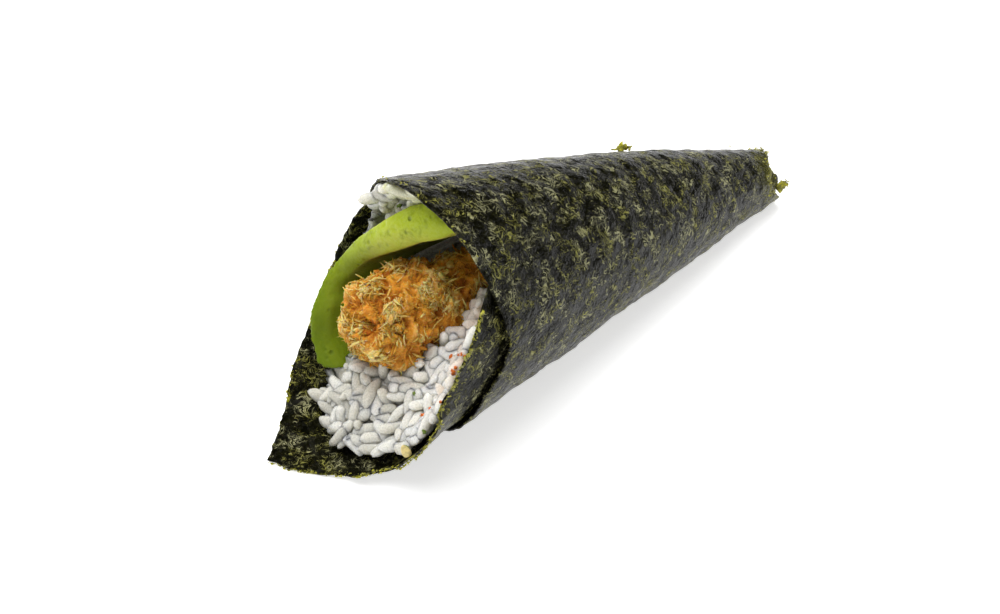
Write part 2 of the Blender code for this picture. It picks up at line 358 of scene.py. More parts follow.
def joined_copies(name, kinds, picks, middles, turns, sizes, **paints):
    """One mesh of many copies of a few kinds. Each has a middle, a 3x3 turn and a size along each axis."""
    shapes = [(corners(kind.data), sides_of(kind.data)) for kind in kinds]
    points, faces, counts, start = [], [], [], 0
    for which, middle, turn, size in zip(picks, middles, turns, sizes):
        shape, sides = shapes[which]
        points.append((shape * size) @ turn.T + middle)
        faces.extend(tuple(start + i for i in side) for side in sides)
        counts.append(len(shape))
        start += len(shape)
    mesh = bpy.data.meshes.new(name)
    mesh.from_pydata(np.concatenate(points), [], faces)
    mesh.shade_smooth()
    for label, values in paints.items():
        paint(mesh, label, np.repeat(np.asarray(values, float), counts, axis=0))
    obj = bpy.data.objects.new(name, mesh)
    bpy.context.scene.collection.objects.link(obj)
    for kind in kinds:
        bpy.data.objects.remove(kind)
    return obj


def unit(vectors):
    return vectors / np.maximum(np.linalg.norm(vectors, axis=-1, keepdims=True), 1e-9)


def level(ways, ups):
    """Ways without their share along the ups."""
    return ways - ups * column(np.sum(ways * ups, axis=1))


def turns_to(ways, ups):
    """Turns that point each copy's X along a way, with its Z near an up."""
    ways = unit(ways)
    sides = unit(np.cross(ups, ways))
    return np.stack([ways, sides, np.cross(ways, sides)], axis=-1)


def finish(obj, material, slot, *nodes):
    """The piece gets its material, rides with the roll and stands for its nodes."""
    obj.data.materials.clear()
    obj.data.materials.append(material)
    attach(obj, "root")
    if nodes:
        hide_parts(*nodes)
    return obj


# ---- materials ----


def material_of(piece):
    return bpy.data.objects[piece].data.materials[0]


def put(tree, kind, values=None, **settings):
    """Adds a node. A value is a number or colour for an input, or the output that feeds it."""
    node = tree.nodes.new(kind)
    for name, value in settings.items():
        setattr(node, name, value)
    for name, value in (values or {}).items():
        if isinstance(value, bpy.types.NodeSocket):
            tree.links.new(value, node.inputs[name])
        else:
            node.inputs[name].default_value = value
    return node


def mix(tree, share, first, second):
    return put(tree, "ShaderNodeMix", {0: share, 6: first, 7: second}, data_type="RGBA").outputs[2]


def calc(tree, operation, first, second=0.0):
    return put(tree, "ShaderNodeMath", {0: first, 1: second}, operation=operation).outputs[0]


def times(tree, first, second):
    return calc(tree, "MULTIPLY", first, second)


def plus(tree, first, second):
    return calc(tree, "ADD", first, second)


def span(tree, value, low, high, to_low=0.0, to_high=1.0):
    """A smooth step of a value from one span to another."""
    names = {"Value": value, "From Min": low, "From Max": high, "To Min": to_low, "To Max": to_high}
    return put(tree, "ShaderNodeMapRange", names, interpolation_type="SMOOTHSTEP").outputs[0]


def cloud(tree, place, scale, detail=2.0, roughness=0.5, distortion=0.0):
    """A noise texture; its outputs are the value and the colour."""
    names = {"Vector": place, "Scale": scale, "Detail": detail, "Roughness": roughness}
    return put(tree, "ShaderNodeTexNoise", {**names, "Distortion": distortion}).outputs


def read(tree, name, output="Fac"):
    return put(tree, "ShaderNodeAttribute", attribute_name=name).outputs[output]


def object_place(tree):
    return put(tree, "ShaderNodeTexCoord").outputs["Object"]


def bumped(tree, height, distance, below=None):
    values = {"Height": height, "Distance": distance}
    if below:
        values["Normal"] = below
    return put(tree, "ShaderNodeBump", values).outputs["Normal"]


def new_material(name, **shader):
    material = bpy.data.materials.new(name)
    material.use_nodes = True
    principled = material.node_tree.nodes["Principled BSDF"]
    for label, value in shader.items():
        principled.inputs[label.replace("_", " ")].default_value = value
    return material, material.node_tree, principled


def subsurface(weight, radius, scale):
    """Settings of a shader that lets light in."""
    return {"Subsurface_Weight": weight, "Subsurface_Radius": radius, "Subsurface_Scale": scale}


def feed(tree, shader, **sources):
    for label, source in sources.items():
        tree.links.new(source, shader.inputs[label.replace("_", " ")])


def mottle_group():
    """Soft large patches and small specks, for food that isn't evenly coloured."""
    known = bpy.data.node_groups.get("mottle")
    if known:
        return known
    group = bpy.data.node_groups.new("mottle", "ShaderNodeTree")
    group.interface.new_socket("Place", in_out="INPUT", socket_type="NodeSocketVector")
    group.interface.new_socket("Scale", in_out="INPUT", socket_type="NodeSocketFloat")
    for label in ("Patches", "Specks"):
        group.interface.new_socket(label, in_out="OUTPUT", socket_type="NodeSocketFloat")
    given = group.nodes.new("NodeGroupInput").outputs
    result = group.nodes.new("NodeGroupOutput").inputs
    patches = cloud(group, given["Place"], given["Scale"], 3.0, 0.6)[0]
    fine = times(group, given["Scale"], 6.0)
    specks = cloud(group, given["Place"], fine, 3.0, 0.7)[0]
    group.links.new(span(group, patches, 0.32, 0.68), result["Patches"])
    group.links.new(span(group, specks, 0.35, 0.70), result["Specks"])
    return group


def mottle(tree, place, scale):
    group = put(tree, "ShaderNodeGroup", node_tree=mottle_group())
    tree.links.new(place, group.inputs["Place"])
    group.inputs["Scale"].default_value = scale
    return group.outputs["Patches"], group.outputs["Specks"]


def strands(tree, place, direction, width, reach, low, high):
    """Short strands that lie along a direction, as a mask."""
    names = {
        "Vector": place,
        "Rotation": (0, 0, math.radians(direction)),
        "Scale": (reach, width, 1.0),
        "Location": (direction, -direction, 0),
    }
    laid = put(tree, "ShaderNodeMapping", names, vector_type="TEXTURE").outputs[0]
    return span(tree, cloud(tree, laid, 1.0, 1.5, 0.5)[0], low, high)


def threads(tree, place, scale, width, detail=2.0):
    """Thin winding threads, as a mask."""
    off_middle = calc(tree, "SUBTRACT", cloud(tree, place, scale, detail, 0.55)[0], 0.5)
    return span(tree, calc(tree, "ABSOLUTE", off_middle), width, width * 0.25)


def most(tree, *masks):
    result = masks[0]
    for mask in masks[1:]:
        result = calc(tree, "MAXIMUM", result, mask)
    return result


def nori_material(settings):
    """Pressed seaweed: pale strands over near-black green, with smooth films and pits, and a painted glow of
    light shining through its thin edges.
    """
    material, tree, shader = new_material("nori", Roughness=0.42, IOR=1.4, Specular_IOR_Level=0.18)
    sheet = read(tree, "sheet", "Vector")
    drift = put(tree, "ShaderNodeVectorMath", {0: cloud(tree, sheet, 0.30, 2.0)[1], 1: (0.5, 0.5, 0.5)})
    drift.operation = "SUBTRACT"
    bent = put(tree, "ShaderNodeVectorMath", {0: drift.outputs[0], 1: (6.0, 6.0, 0), 2: sheet})
    bent.operation = "MULTIPLY_ADD"
    place = bent.outputs[0]

    laid = most(
        tree,
        strands(tree, place, 12, 0.36, 2.4, 0.58, 0.64),
        strands(tree, place, 71, 0.32, 2.0, 0.585, 0.645),
        strands(tree, place, 133, 0.34, 2.2, 0.59, 0.65),
        times(tree, strands(tree, place, 100, 0.24, 1.2, 0.59, 0.66), 0.7),
        times(tree, threads(tree, place, 0.55, 0.014), 0.9),
        times(tree, threads(tree, sheet, 1.1, 0.020, 3.0), 0.6),
    )
    thick = span(tree, cloud(tree, sheet, 0.26, 4.0, 0.66)[0], 0.40, 0.60, 0.10, 1.0)
    laid = span(tree, times(tree, laid, thick), 0.16, 0.90)

    film = span(tree, cloud(tree, sheet, 0.21, 3.0, 0.55, 0.6)[0], 0.56, 0.63)
    olive = span(tree, cloud(tree, sheet, 0.14, 3.0, 0.6)[0], 0.42, 0.56)
    pits = put(tree, "ShaderNodeTexVoronoi", {"Vector": place, "Scale": 0.75}).outputs["Distance"]
    pit = times(tree, span(tree, pits, 0.36, 0.16), span(tree, cloud(tree, sheet, 0.5)[0], 0.4, 0.55))

    tint = mix(tree, olive, settings.nori_strand, (0.270, 0.260, 0.060, 1))
    glow = span(tree, cloud(tree, place, 1.1, 2.0)[0], 0.56, 0.70)
    tint = mix(tree, times(tree, glow, 0.6), tint, (0.50, 0.49, 0.34, 1))
    laid = times(tree, laid, span(tree, film, 0, 1, 1.0, 0.4))
    ground = mix(tree, film, settings.nori_dark, settings.nori_film)
    faded = span(tree, cloud(tree, sheet, 0.8, 4.0, 0.7)[0], 0.45, 0.7)
    ground = mix(tree, faded, ground, (0.012, 0.012, 0.004, 1))
    surface = mix(tree, laid, ground, tint)
    surface = mix(tree, times(tree, pit, 0.85), surface, (0.002, 0.002, 0.001, 1))

    # Painted light: the thin torn rim, and patches near the tip, take the yellow-green of light shining
    # through the thin sheet.
    wander = times(tree, cloud(tree, sheet, 0.38, 4.0, 0.65)[0], 8.0)
    thin = span(tree, plus(tree, read(tree, "rim"), wander), 4.0, 3.2)
    tip_wander = times(tree, cloud(tree, place, 0.55, 3.0, 0.6)[0], 16.0)
    near_tip = span(tree, plus(tree, read(tree, "tip"), tip_wander), 16.0, 10.0)
    lit = times(tree, near_tip, span(tree, laid, 0.1, 0.5, 0.15, 0.8))
    surface = mix(tree, most(tree, thin, lit), surface, settings.nori_edge_glow)

    height = plus(tree, times(tree, laid, 0.5), cloud(tree, sheet, 0.7, 4.0, 0.62)[0])
    height = calc(tree, "SUBTRACT", height, times(tree, pit, 0.8))
    rough_sheet = span(tree, laid, 0, 1, 0.19, 0.42)
    dents = cloud(tree, sheet, 0.28, 3.0, 0.6)[0]
    normal = bumped(tree, height, 0.42 * MM, below=bumped(tree, dents, 1.3 * MM))
    feed(tree, shader, Base_Color=surface, Roughness=rough_sheet, Normal=normal)
    return material


def torn_nori_material(settings):
    """Thin torn shreds of the sheet, which let the light through; their colour lies between the pale strands
    and a painted yellow-green glow of that light.
    """
    through = subsurface(0.3, (1.0, 1.0, 0.2), 0.4 * MM)
    material, tree, shader = new_material("nori_shreds", Roughness=0.45, **through)
    patches, specks = mottle(tree, object_place(tree), 900.0)
    dark = mix(tree, read(tree, "tone"), settings.nori_edge_glow, settings.nori_strand)
    # Painted light: bright yellow patches where light shines through the thin shreds.
    pale = mix(tree, times(tree, patches, 0.8), dark, (0.90, 0.84, 0.06, 1))
    surface = mix(tree, times(tree, specks, 0.3), pale, settings.nori_dark)
    feed(tree, shader, Base_Color=surface, Normal=bumped(tree, specks, 0.08 * MM))
    return material


def rice_material(settings):
    """Cooked rice: white and cloudy inside, glossy outside."""
    through = subsurface(1.0, (1.0, 0.95, 0.85), 2.0 * MM)
    outside = {"Transmission_Weight": 0.12, "Coat_Weight": 0.5, "Coat_Roughness": 0.12}
    material, tree, shader = new_material("rice", IOR=1.36, **through, **outside)
    patches, specks = mottle(tree, object_place(tree), 420.0)
    cloudy = mix(tree, patches, settings.rice, (0.87, 0.85, 0.75, 1))
    # Darker where the attribute is high: the grains' own tone at random, and painted shade on the left of the
    # heap, on the core between the grains and in its hollow.
    toned = mix(tree, read(tree, "tone"), cloudy, (0.52, 0.505, 0.44, 1))
    pink = mix(tree, read(tree, "blush"), toned, (0.84, 0.62, 0.52, 1))
    green = mix(tree, read(tree, "green"), pink, (0.66, 0.68, 0.34, 1))
    rough_skin = span(tree, specks, 0, 1, 0.22, 0.42)
    height = plus(tree, times(tree, specks, 0.35), patches)
    feed(tree, shader, Base_Color=green, Roughness=rough_skin, Normal=bumped(tree, height, 0.10 * MM))
    return material


def avocado_material(settings):
    """Ripe flesh: lime green and pitted at the peeled edge, yellow towards the stone."""
    through = subsurface(0.3, (0.9, 1.0, 0.15), 1.4 * MM)
    wet = {"Roughness": 0.4, "IOR": 1.4, "Specular_IOR_Level": 0.2}
    material, tree, shader = new_material("avocado", **wet, **through)
    place = object_place(tree)
    patches, specks = mottle(tree, place, 300.0)
    inward = plus(tree, read(tree, "inward"), times(tree, patches, 0.14))
    flesh = mix(tree, span(tree, inward, 0.55, 1.25), settings.avocado_edge, settings.avocado_flesh)
    skin = mix(tree, span(tree, inward, 0.38, 0.05), flesh, (0.17, 0.29, 0.020, 1))
    pale = mix(tree, times(tree, specks, 0.35), skin, (0.50, 0.60, 0.12, 1))
    pits = put(tree, "ShaderNodeTexVoronoi", {"Vector": place, "Scale": 520.0}).outputs["Distance"]
    pit = times(tree, span(tree, pits, 0.34, 0.10), span(tree, cloud(tree, place, 160.0)[0], 0.45, 0.6))
    pit = times(tree, pit, span(tree, inward, 1.0, 0.6))
    shaded = mix(tree, times(tree, read(tree, "low"), 0.85), pale, (0.100, 0.150, 0.003, 1))
    streaks = span(tree, cloud(tree, place, 330.0, 5.0, 0.7, 0.8)[0], 0.5, 0.68, 0.0, 0.5)
    streaked = mix(tree, streaks, shaded, (0.14, 0.20, 0.010, 1))
    surface = mix(tree, times(tree, pit, 0.8), streaked, (0.09, 0.13, 0.008, 1))
    height = calc(tree, "SUBTRACT", times(tree, patches, 0.6), pit)
    feed(tree, shader, Base_Color=surface, Normal=bumped(tree, height, 0.22 * MM))
    return material


def crumb_material(settings):
    """Fried breadcrumbs: deep orange brown in the hollows and pale gold at the tips, partly their own colour
    and partly painted shade and painted light.
    """
    through = subsurface(0.55, (1.0, 0.45, 0.08), 1.2 * MM)
    material, tree, shader = new_material("crumb", IOR=1.4, Specular_IOR_Level=0.2, **through)
    place = object_place(tree)
    patches, specks = mottle(tree, place, 330.0)
    pale = plus(tree, read(tree, "tone"), times(tree, specks, 0.3))
    pale = plus(tree, pale, times(tree, patches, 0.25))
    middle = mix(tree, span(tree, pale, 0.15, 0.85), settings.crumb_deep, (0.74, 0.32, 0.040, 1))
    surface = mix(tree, span(tree, pale, 0.75, 1.5), middle, settings.crumb_pale)
    height = plus(tree, specks, patches)
    gloss = span(tree, patches, 0, 1, 0.36, 0.6)
    feed(tree, shader, Base_Color=surface, Roughness=gloss, Normal=bumped(tree, height, 0.15 * MM))
    return material


def speck_material(name, tint, roughness):
    """Small dry bits: one colour, with darker specks."""
    material, tree, shader = new_material(name, Roughness=roughness)
    patches, specks = mottle(tree, object_place(tree), 1500.0)
    dark = tuple(value * 0.55 for value in tint[:3]) + (1,)
    surface = mix(tree, times(tree, patches, 0.7), tint, dark)
    feed(tree, shader, Base_Color=surface, Normal=bumped(tree, specks, 0.05 * MM))
    return material


def floor_material(settings):
    """A matt pale floor with the faintest tooth."""
    glow = {"Emission_Color": (1, 1, 1, 1), "Emission_Strength": 0.60}
    material, tree, shader = new_material("floor", Roughness=0.9, Specular_IOR_Level=0.1, **glow)
    patches, specks = mottle(tree, object_place(tree), 40.0)
    surface = mix(tree, times(tree, patches, 0.02), settings.floor, (0.8, 0.8, 0.8, 1))
    feed(tree, shader, Base_Color=surface, Normal=bumped(tree, specks, 0.01 * MM))
    return material


# ---- the nori ----


def unrolled_rim(angle, rim):
    """Places along a rim, laid out in a line."""
    return column(np.radians(angle) * rim * SINE) * (1, 0, 0)


def mouth_rim(angle):
    """The reach of the sheet's rim at the mouth, torn a little, and more at the free corner."""
    rim = np.where(angle <= CORNER, along(LONG_SIDE, angle), along(SHORT_SIDE, angle)) * MM
    around = unrolled_rim(angle, rim)
    loose = 0.35 + 0.65 * ease(60, 110, angle) * (1 - ease(285, 320, angle))
    torn = rough(around, 4.2 * MM, 3.1) * 0.7 + rough(around, 1.3 * MM, 8.4) * 0.55
    return rim + torn * loose * MM


def tip_rim(angle):
    rim = along(TIP_SIDE, angle) * MM
    around = unrolled_rim(angle, rim)
    return rim + (rough(around, 3.0 * MM, 5.5) * 1.1 + rough(around, 0.9 * MM, 1.2) * 0.6) * MM


def wound_depth(angle):
    """How deep the sheet's outer face lies: each turn is wound inside the one before."""
    return TURN_PITCH * np.maximum(angle - WOUND_FROM, 0.0) / 360.0


def sheet_depth(angle, reach):
    """The same, with the free corner sinking to the table."""
    drop = ease(DROP_FROM, DROP_TO, reach) * ((angle > 80) & (angle < 260))
    return wound_depth(angle) * (1 - drop)


def sheet_relief(angle, reach, height):
    """Long soft creases that all turns share, and blisters of the sheet's own."""
    turn = np.radians(angle)
    radius = reach * SINE
    place = np.stack([np.cos(turn) * radius, np.sin(turn) * radius, reach * 0.6], axis=-1)
    flat = np.stack([turn * radius, reach, reach * 0], axis=-1)
    creases = rough(place, 11 * MM, 2.0) * 1.0
    blisters = rough(flat, 3.6 * MM, 6.0) * 0.65 + rough(flat, 1.7 * MM, 9.0) * 0.40
    return (creases + blisters) * height


def make_nori_sheet(settings):
    deselect()
    bpy.ops.mesh.primitive_grid_add(x_subdivisions=400, y_subdivisions=116, size=1.0)
    obj = named("nori_sheet")
    share = corners(obj.data) + 0.5
    angle = OUTER_END + (INNER_END - OUTER_END) * share[:, 0]
    tip, rim = tip_rim(angle), mouth_rim(angle)
    reach = tip + (rim - tip) * share[:, 1]
    relief = sheet_relief(angle, reach, settings.nori_relief)
    points = on_roll(angle, reach, sheet_depth(angle, reach) - relief)
    from_rim, from_tip = (rim - reach) / MM, (reach - tip) / MM
    free = ease(90, 130, angle) * (1 - ease(250, 290, angle)) * (1 - ease(0, 14, from_rim))
    points[:, 2] += free * (0.45 + rough(points, 9 * MM, 4.0)) * 0.9 * MM
    move_corners(obj.data, on_table(points))
    unrolled = np.radians(angle) * SINE
    flat = np.stack([np.cos(unrolled) * reach, np.sin(unrolled) * reach, reach * 0], axis=-1) / MM
    paint(obj.data, "sheet", flat)
    torn = ease(96, 118, angle) * (1 - ease(292, 315, angle))
    paint(obj.data, "rim", np.minimum(from_rim + (1 - torn) * 1.6, from_tip))
    paint(obj.data, "tip", from_tip)
    if np.sum(normals(obj.data) * from_axis(points)) < 0:
        obj.data.flip_normals()
    modify(obj, "SOLIDIFY", thickness=settings.nori_thickness, offset=-1.0)
    obj.data.shade_smooth()
    return finish(obj, nori_material(settings), "nori", "nori_wrap")


def flake_kinds(count, seed):
    """Small thin ragged flakes, about 2 long: a cut and crumpled disc each."""

    def crumple(points, rng, k):
        points[:, :2] *= rng.uniform(0.45, 1.1, (len(points), 1))
        points[:, 1] *= 0.62
        points[:, 2] = rng.normal(0, 0.16, len(points)) + 0.25 * points[:, 0] ** 2
        return points

    disc = partial(bpy.ops.mesh.primitive_circle_add, vertices=9, radius=1.0, fill_type="TRIFAN")
    kinds = kinds_of("flake", count, seed, disc, crumple)
    for obj in kinds:
        modify(obj, "SOLIDIFY", thickness=0.12, offset=0.0)
    return kinds


def make_nori_shreds(settings):
    """Torn shreds of nori along the rims, and a few larger ones."""
    rng = np.random.default_rng(41)
    angle = np.concatenate([rng.uniform(92, 300, 620), rng.uniform(-60, 60, 20), rng.uniform(-180, 340, 260)])
    at_tip = np.arange(len(angle)) >= 640
    inset = np.abs(rng.normal(0, 0.5, len(angle))) * MM
    reach = np.where(at_tip, tip_rim(angle) + inset * 2.2, mouth_rim(angle) - inset)
    depth = sheet_depth(angle, reach) + rng.uniform(-0.15, 0.3, len(angle)) * MM
    middles = on_roll(angle, reach, depth)
    middles[:, 2] += 0.3 * MM
    size = rng.uniform(0.16, 0.55, len(angle)) * MM
    ways = rng.normal(0, 1, (len(angle), 3)) + AXIS * 0.8
    ups = unit(from_axis(middles)) + rng.normal(0, 0.5, (len(angle), 3))
    sizes = column(size)
    tone = rng.uniform(0, 0.8, len(angle))

    large = ((-86, 42.6, 1.0, 4.6), (-82, 41.6, 0.8, 4.0), (-92, 43.4, 0.9, 3.4), (-88, 41.0, 0.6, 3.0),
             (-78, 41.2, 0.4, 2.4), (-96, 42.0, 0.9, 2.2), (42, 85.5, -0.5, 3.6), (43, 83.6, -0.8, 3.0),
             (41, 87.0, -0.4, 2.6), (43, 84.6, -1.2, 2.4), (42, 82.6, -0.5, 2.0), (40, 51.0, -0.3, 1.0))
    for place, far, low, span_mm in large:
        middles = np.vstack([middles, on_roll(np.array([place]), np.array([far * MM]), np.array([low * MM]))])
        ways = np.vstack([ways, rng.normal(0, 1, 3) + AXIS])
        ups = np.vstack([ups, rng.normal(0, 1, 3)])
        sizes = np.vstack([sizes, [span_mm * 0.5 * MM]])
        tone = np.append(tone, 0.1)
    picks = rng.integers(0, 6, len(tone))
    turns = turns_to(ways, ups)
    obj = joined_copies("nori_shreds", flake_kinds(6, 5), picks, middles, turns, sizes, tone=tone)
    move_corners(obj.data, on_table(corners(obj.data)))
    return finish(obj, torn_nori_material(settings), "nori")


# ---- the rice ----


def plump(points, rng, k):
    """A ball becomes a cooked grain, one unit long, a little bent and pinched where the germ was."""
    points = points[:, [2, 0, 1]]
    at = points[:, 0] * 2
    round_end = np.maximum(np.sqrt(1 - np.minimum(at**2, 0.999)), 0.05)
    blunt = np.clip(1 - np.abs(at) ** 3.2, 0, 1) ** 0.5 / round_end
    points[:, 1:] *= np.clip(blunt, 0, 1.5)[:, None] * (1 + rng.uniform(-0.16, 0.10) * at)[:, None]
    points[:, 2] *= rng.uniform(0.80, 0.95)
    points[:, 1] += rng.uniform(-0.2, 0.2) * (at**2 - 0.4)
    pinch = np.exp(-(((at - 0.86) / 0.16) ** 2)) * 0.35 * (points[:, 1] > 0)
    points[:, 1] *= 1 - pinch
    return points * (1 + 0.11 * rough(points, 0.30, k * 3.7))[:, None]


def grain_kinds(count):
    ball = partial(bpy.ops.mesh.primitive_uv_sphere_add, segments=14, ring_count=11, radius=0.5)
    return kinds_of("grain", count, 7, ball, plump)


def front_of_rice(angle, share):
    """Points on the front of the bed of rice, from the nori (share 0) to the middle (share 1)."""
    rim = along(RICE_FRONT, angle) * MM
    reach = rim + (RICE_HEART_REACH - rim) * share ** along(RICE_BULGE, angle)
    shallow = wound_depth(angle) + RICE_INSET
    return on_roll(angle, reach, shallow + (reach * math.tan(HALF_ANGLE) - shallow) * share)


def spread(points, spacing):
    """The numbers of points that are all at least a spacing apart."""
    kept = []
    for i, point in enumerate(points):
        if not kept or np.min(np.linalg.norm(points[kept] - point, axis=1)) > spacing:
            kept.append(i)
    return kept


def within(tree, point):
    """Whether a point lies in a closed mesh: a line from it then leaves the mesh an odd number of times."""
    crossings = 0
    start = Vector(point)
    step = Vector(FALL)
    while (hit := tree.ray_cast(start, step)[0]) is not None:
        crossings += 1
        start = hit + step * 1e-6
    return crossings % 2 == 1


def clearance(tree, point):
    """How far a point lies from a piece of the filling, and the way out. Just inside it, below nothing."""
    hit, normal, _, distance = tree.find_nearest(point)
    sunk = distance < NEAR_FILLING and (Vector(point) - hit).dot(normal) < 0
    return -distance if sunk else distance, np.array(normal)


def blocked(tree, point, margin):
    return within(tree, point) or tree.find_nearest(point)[3] < margin


def grain_places(trees, rng, spacing, sunk):
    """Middles and outward directions for one layer of grains over the front of the rice."""
    angle = rng.uniform(0, 360, GRAIN_TRIES)
    share = rng.uniform(0, 0.98, GRAIN_TRIES)
    points = front_of_rice(angle, share)
    by_angle = front_of_rice(angle + 1.0, share) - points
    by_share = front_of_rice(angle, share + 0.01) - points
    out = np.cross(by_angle, by_share)
    weight = np.linalg.norm(out, axis=1)
    out = unit(out)
    out *= np.sign(out @ AXIS)[:, None]
    middles = points - out * sunk
    open_here = rng.uniform(0, 1, GRAIN_TRIES) < weight / np.quantile(weight, 0.9)
    heap = (angle > 160) & (angle < 288) & (share < 0.9)
    top = (angle > 6) & (angle < 58) & (share < 0.30)
    found = np.flatnonzero(open_here & (heap | top))
    found = [i for i in found if not any(blocked(tree, middles[i], 0.8 * MM) for tree in trees)]
    kept = np.array(found)[spread(middles[found], spacing)]
    return middles[kept], out[kept]


def wall_depth(angle, reach):
    """How deep the inside of the roll starts: at the inner turn, or past its rim at the outer one."""
    inner = np.where(reach < mouth_rim(angle) + 1.5 * MM, sheet_depth(angle, reach), -1.0)
    outer_angle = np.where(angle > OUTER_END + 360, angle - 360, angle)
    outer = np.where(reach < mouth_rim(outer_angle) + 5 * MM, sheet_depth(outer_angle, reach), -1.0)
    return np.maximum(inner, outer) + WALL_CLEARANCE


def keep_in(beads, radius):
    """How far beads must move so that they stay inside the innermost turn and off the table."""
    angle, reach, depth = off_roll(beads)
    inward = AXIS * SINE - across_axis(angle) * COSINE
    short = np.clip(wall_depth(angle, reach) + radius - depth, 0, 6 * MM)
    push = inward * column(short)
    push[:, 2] += np.maximum(radius + 0.5 * MM - (beads + push)[:, 2], 0)
    return push


def beads_of(middles, ways, half):
    """Three beads along each grain: its two ends and its middle."""
    steps = np.array((-1.0, 0.0, 1.0))[None, :, None]
    return (middles[:, None, :] + ways[:, None, :] * half[:, None, None] * steps).reshape(-1, 3)


def settle(middles, ways, half, radius, trees, rounds=80):
    """Moves and turns the grains until they lie against each other and against what blocks them."""
    home = middles.copy()
    count = len(middles)
    owner = np.repeat(np.arange(count), 3)
    other = owner[:, None] != owner[None, :]
    for step in range(rounds):
        beads = beads_of(middles, ways, half)
        gap = beads[:, None, :] - beads[None, :, :]
        distance = np.linalg.norm(gap, axis=2) + 1e-9
        overlap = np.where(other & (distance < radius * 1.25), radius * 1.25 - distance, 0.0)
        push = (gap / distance[..., None] * overlap[..., None]).sum(axis=1) * 0.3
        if step % 2:
            for i, bead in enumerate(beads):
                for tree in trees:
                    clear, way_out = clearance(tree, bead)
                    push[i] += way_out * max(radius * 0.8 - clear, 0) * 0.6
        push += keep_in(beads + push, radius * 0.9) * (0.5 if step < rounds - 20 else 0.9)
        push = push.reshape(count, 3, 3)
        middles += push.mean(axis=1) * 1.6 + (home - middles) * 0.08
        ways = unit(ways + (push[:, 2] - push[:, 0]) / half[:, None] * 0.5)
    beads = beads_of(middles, ways, half)
    angle, reach, depth = off_roll(beads)
    out = wall_depth(angle, reach) + radius - depth > GRAIN_SLACK
    sunk = [any(blocked(tree, bead, 0.25 * radius) for tree in trees) for bead in beads]
    fits = ~np.any((out | np.array(sunk)).reshape(count, 3), axis=1)
    return middles[fits], ways[fits], fits


def make_rice_core(settings):
    """The bed of rice, drawn back at the front to make room for the grains."""
    obj = copied_node("sushi_rice", "rice_core", 0.7 * MM)
    points, out = corners(obj.data), normals(obj.data)
    angle, reach, depth = off_roll(points)
    front = np.clip(out @ AXIS * 1.6, 0, 1) * ease(125 * MM, 140 * MM, reach)
    from_nori = 3.5 * MM + 4.5 * MM * bell(angle, 32, 34)
    hollow = np.maximum(ease(286, 300, angle), 1 - ease(70, 118, angle))
    hollow = hollow * ease(0, 2.5 * MM, depth - from_nori)
    points -= out * column(front * CORE_FRONT_INSET + CORE_INSET)
    points -= AXIS * column(hollow * ease(118 * MM, 140 * MM, reach) * CORE_HOLLOW)
    points += out * column(rough(points, 2.0 * MM, 1.0) * 1.1 * MM * front)
    points += keep_in(points, 0.2 * MM)
    move_corners(obj.data, points)
    for label in ("blush", "green"):
        paint(obj.data, label, np.zeros(len(points)))
    # Painted shade: the core is a little darker where it shows between the grains, and much darker in its
    # hollow.
    paint(obj.data, "tone", 0.25 + 0.75 * hollow)
    return finish(obj, rice_material(settings), "rice", "sushi_rice")


def make_rice_grains(settings):
    rng = np.random.default_rng(23)
    trees = [tree_of(bpy.data.objects[name]) for name in ("prawn_coat", "avocado_flesh")]
    layers = [grain_places(trees, rng, spacing, sunk) for spacing, sunk in GRAIN_LAYERS]
    middles, out = (np.vstack(parts) for parts in zip(*layers))
    count = len(middles)
    loose = rng.normal(0, 1, (count, 3)) + AXIS * 0.35
    lift = rng.normal(0, 0.65, count)
    ways = unit(unit(level(loose, out)) + out * column(lift))
    sizes = np.stack(
        [
            settings.grain_length * rng.normal(1.0, 0.13, count),
            settings.grain_width * rng.normal(1.0, 0.09, count),
            settings.grain_width * rng.normal(0.95, 0.08, count),
        ],
        axis=-1,
    )
    radius = settings.grain_width * 0.47
    half = sizes[:, 0] / 2 - radius
    middles, ways, fits = settle(middles, ways, half, radius, trees)
    sizes, out, count = sizes[fits], out[fits], len(middles)
    angle, reach, depth = off_roll(middles)
    right = ease(225, 265, angle) * (1 - ease(305, 330, angle))
    top = np.maximum(1 - ease(20, 45, angle), ease(340, 355, angle))
    obj = joined_copies(
        "rice_grains",
        grain_kinds(12),
        rng.integers(0, 12, count),
        middles,
        turns_to(ways, out),
        sizes,
        # Each grain's tone varies at random, and grains on the left of the heap are painted darker: painted
        # shade.
        tone=np.clip(0.5 + rng.uniform(-0.35, 0.35, count) - 0.7 * ease(205, 240, angle), 0, 1),
        blush=right * rng.uniform(0.1, 0.75, count),
        green=top * rng.uniform(0.3, 0.9, count),
    )
    return finish(obj, material_of("rice_core"), "rice")


# ---- the avocado ----


def make_avocado(settings):
    obj = copied_node("avocado_slice", "avocado_flesh", 0.42 * MM)
    modify(obj, "SMOOTH", factor=0.5, iterations=4)
    points, out = corners(obj.data), normals(obj.data)
    angle, reach, depth = off_roll(points)
    shrink = MOUTH_REACH / np.maximum(reach, 1 * MM)
    inward = np.clip((depth * shrink / MM - 3.5) / 9.0, 0, 1)
    facing = np.clip(out @ AXIS, 0, 1)
    edge = ease(0.25, 0.7, facing)
    ripples = rough(points, 2.2 * MM, 5.0) * 0.10 * MM * edge
    points += out * column(rough(points, 7 * MM, 3.0) * 0.28 * MM + ripples)
    pits = np.clip(rough(points, 1.25 * MM, 7.0) - 0.25, 0, 1) * ease(-0.1, 0.3, rough(points, 6 * MM, 2.0))
    points -= out * column(pits * 0.75 * MM * edge)
    move_corners(obj.data, points)
    paint(obj.data, "inward", np.where(edge > 0.5, inward * 0.8, 0.35 + inward * 0.9))
    # Painted shade: the slice is painted darker green towards the bottom, where it faces away from the light.
    paint(obj.data, "low", 1 - ease(14 * MM, 40 * MM, points[:, 2]))
    return finish(obj, avocado_material(settings), "avocado", "avocado_slice")


# ---- the prawn ----


